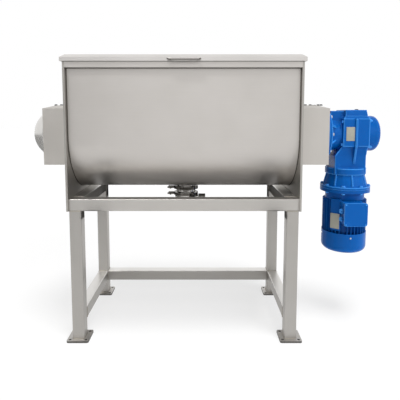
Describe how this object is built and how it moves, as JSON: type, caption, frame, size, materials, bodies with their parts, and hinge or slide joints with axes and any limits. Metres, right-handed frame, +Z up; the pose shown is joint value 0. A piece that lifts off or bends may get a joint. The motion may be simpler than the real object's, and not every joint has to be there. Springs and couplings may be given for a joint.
{
  "type": "ribbon blender",
  "caption": "Horizontal batch mixer: U-shaped trough with hinged lid on a tube stand, ribbon agitator on a shaft, side bevel geared motor and bottom outlet valve.",
  "frame": {"origin": "on the floor, in the middle of the sixteen anchor holes of the four foot plates", "axes": "+X along the agitator shaft towards the geared motor, +Y from the front (lid handle side) to the back (hinge side), +Z up"},
  "size_m": [1.882, 0.6952, 1.423],
  "materials": {
    "tube_stainless": "satin ground stainless tube",
    "plate_stainless": "laser-cut stainless plate",
    "satin_sheet": "satin brushed stainless sheet",
    "bent_bar_stainless": "bent stainless bar",
    "gasket_rubber": "matt grey silicone strip",
    "box_sheet": "satin stainless sheet",
    "pressed_dome": "smooth pressed stainless",
    "bearing_iron": "painted cast iron",
    "seal_stainless": "machined stainless",
    "ribbon_stainless": "satin stainless, welded",
    "blue_enamel": "glossy blue enamel over castings",
    "blue_pressed_steel": "glossy blue enamel over pressed sheet",
    "rotor_steel": "machined steel",
    "polished_stainless": "polished stainless"
  },
  "bodies": {
    "machine": {"bearing_box_left": "box_sheet", "bearing_box_right": "box_sheet", "bearing_left": "bearing_iron", "bearing_right": "bearing_iron", "box_cover_left": "box_sheet", "box_cover_right": "box_sheet", "dome_cap": "pressed_dome", "end_plate_left": "satin_sheet", "end_plate_right": "satin_sheet", "fan_cover": "blue_pressed_steel", "front_foot_left": "plate_stainless", "front_foot_right": "plate_stainless", "front_leg_left": "tube_stainless", "front_leg_right": "tube_stainless", "gear_end_cover": "blue_enamel", "gear_housing": "blue_enamel", "gear_top_cover": "blue_enamel", "hinge_left": "bent_bar_stainless", "hinge_right": "bent_bar_stainless", "lid_gasket": "gasket_rubber", "lower_clamp": "polished_stainless", "motor_adapter": "blue_enamel", "motor_frame": "blue_enamel", "outlet_spool": "polished_stainless", "outlet_spout": "polished_stainless", "rear_foot_left": "plate_stainless", "rear_foot_right": "plate_stainless", "rear_leg_left": "tube_stainless", "rear_leg_right": "tube_stainless", "shaft_seal_left": "seal_stainless", "shaft_seal_right": "seal_stainless", "stretcher_left": "tube_stainless", "stretcher_rear": "tube_stainless", "stretcher_right": "tube_stainless", "terminal_box": "blue_enamel", "top_rail_front": "tube_stainless", "top_rail_left": "tube_stainless", "top_rail_right": "tube_stainless", "trough_shell": "satin_sheet", "upper_clamp": "polished_stainless", "valve_body": "polished_stainless"},
    "lid": {"lid_panel": "satin_sheet", "lid_handle": "bent_bar_stainless"},
    "agitator": {"main_shaft": "ribbon_stainless", "inner_ribbon_a": "ribbon_stainless", "inner_ribbon_b": "ribbon_stainless", "outer_ribbon_a": "ribbon_stainless", "outer_ribbon_b": "ribbon_stainless", "spoke_left_1": "ribbon_stainless", "spoke_left_2": "ribbon_stainless", "spoke_left_3": "ribbon_stainless", "spoke_left_4": "ribbon_stainless", "spoke_right_1": "ribbon_stainless", "spoke_right_2": "ribbon_stainless", "spoke_right_3": "ribbon_stainless", "spoke_right_4": "ribbon_stainless"},
    "motor_shaft": {"motor_rotor": "rotor_steel"},
    "outlet_valve": {"valve_disc": "polished_stainless", "valve_lever": "polished_stainless"}
  },
  "joints": [
    {"name": "lid_hinge", "type": "hinge", "parent": "machine", "child": "lid", "pos_m": [0, 0.334, 1.399], "axis": [-1, 0, 0], "range_deg": [0, 100]},
    {"name": "agitator_spin", "type": "hinge", "parent": "machine", "child": "agitator", "pos_m": [0, 0, 1.034], "axis": [1, 0, 0], "continuous": true},
    {"name": "motor_spin", "type": "hinge", "parent": "machine", "child": "motor_shaft", "pos_m": [0.893, 0, 0.6], "axis": [0, 0, 1], "continuous": true},
    {"name": "valve_turn", "type": "hinge", "parent": "machine", "child": "outlet_valve", "pos_m": [0, 0, 0.675], "axis": [1, 0, 0], "range_deg": [0, 90]}
  ],
  "couplings": [
    {"joint": "motor_spin", "follows": "agitator_spin", "ratio": 34}
  ]
}
